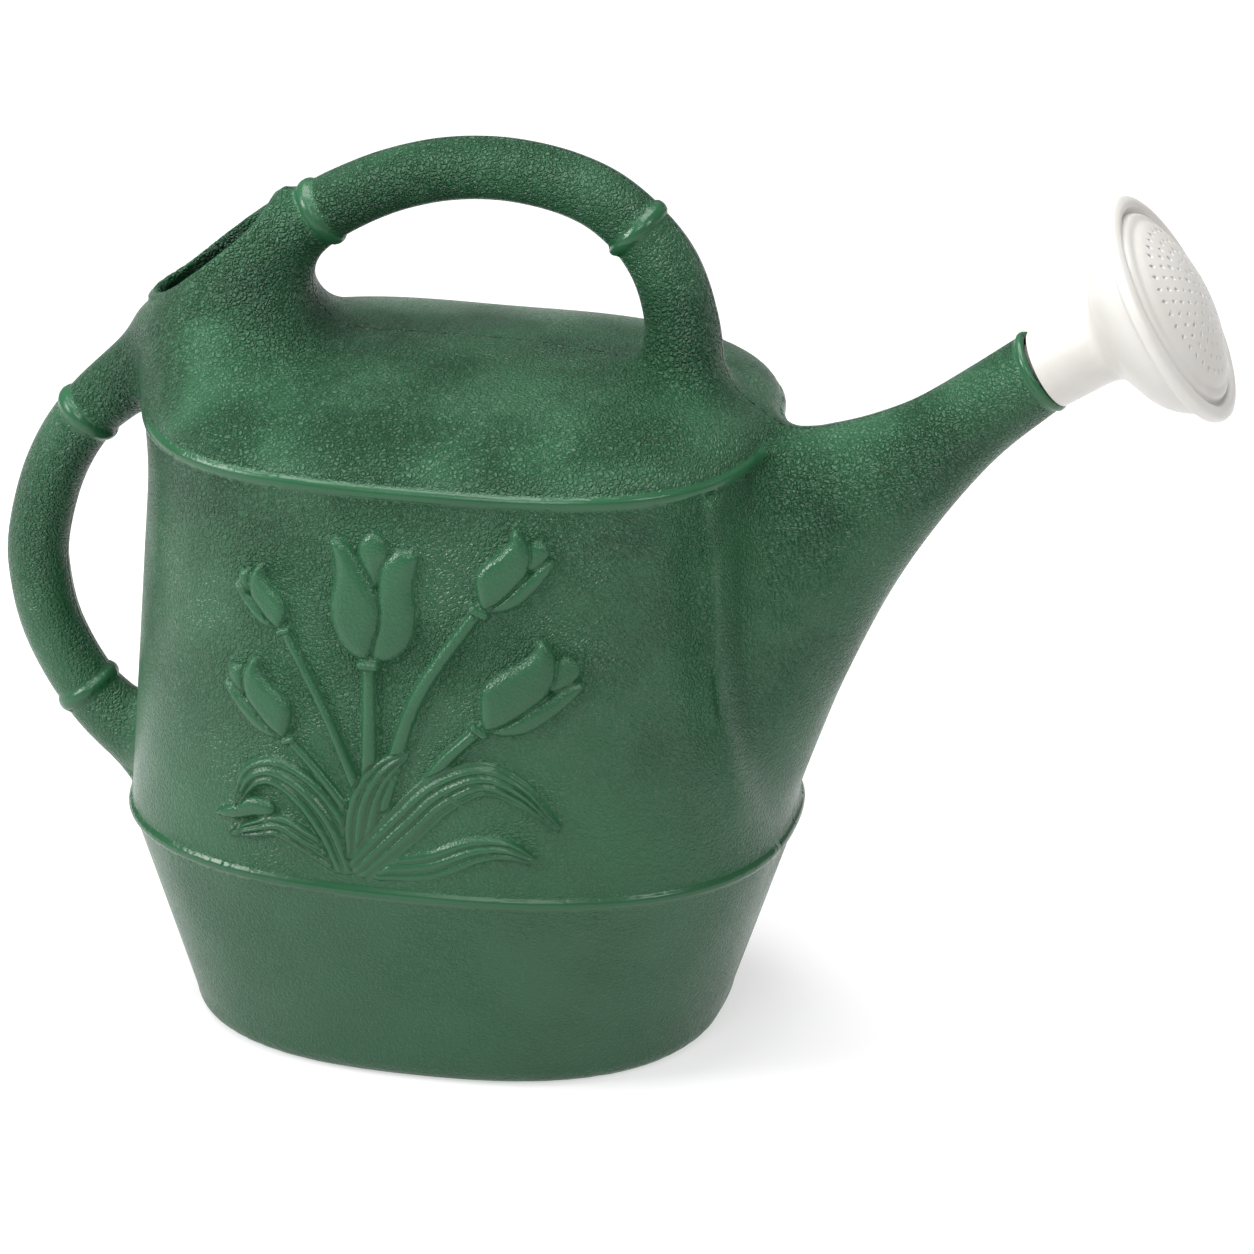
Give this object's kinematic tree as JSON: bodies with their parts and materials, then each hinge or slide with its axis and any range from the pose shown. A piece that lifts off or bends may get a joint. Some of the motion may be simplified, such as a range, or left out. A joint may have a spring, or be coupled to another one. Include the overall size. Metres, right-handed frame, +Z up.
{
  "type": "watering can",
  "caption": "Oval moulded garden watering can with an arched top handle, a rear handle, a tapering spout and a removable domed sprinkler rose.",
  "frame": {"origin": "the middle of the flat underside of the base, on the surface the can stands on", "axes": "+Z up, +X the way the spout points, +Y to the left of someone looking along the spout"},
  "size_m": [0.434, 0.1866, 0.3195],
  "materials": {
    "green_plastic": "dark green polyethylene with a fine pebbled grain and a soft sheen",
    "white_plastic": "smooth satin white"
  },
  "bodies": {
    "can": {"lower_tub": "green_plastic", "barrel_wall": "green_plastic", "shoulder_deck": "green_plastic", "filler_hood": "green_plastic", "spout": "green_plastic", "top_handle_grip": "green_plastic", "top_handle_front_leg": "green_plastic", "rear_handle_grip": "green_plastic", "rear_handle_foot": "green_plastic"},
    "rose": {"rose_bell": "white_plastic"},
    "rose_face": {"rose_face": "white_plastic"}
  },
  "joints": [
    {"name": "rose_pull_off", "type": "slide", "parent": "can", "child": "rose", "axis": [0.8572, 0, 0.515], "range_m": [0, 0.04]},
    {"name": "rose_turn", "type": "hinge", "parent": "rose", "child": "rose_face", "pos_m": [0.2001, 0, 0.2513], "axis": [0.8572, 0, 0.515], "continuous": true}
  ]
}
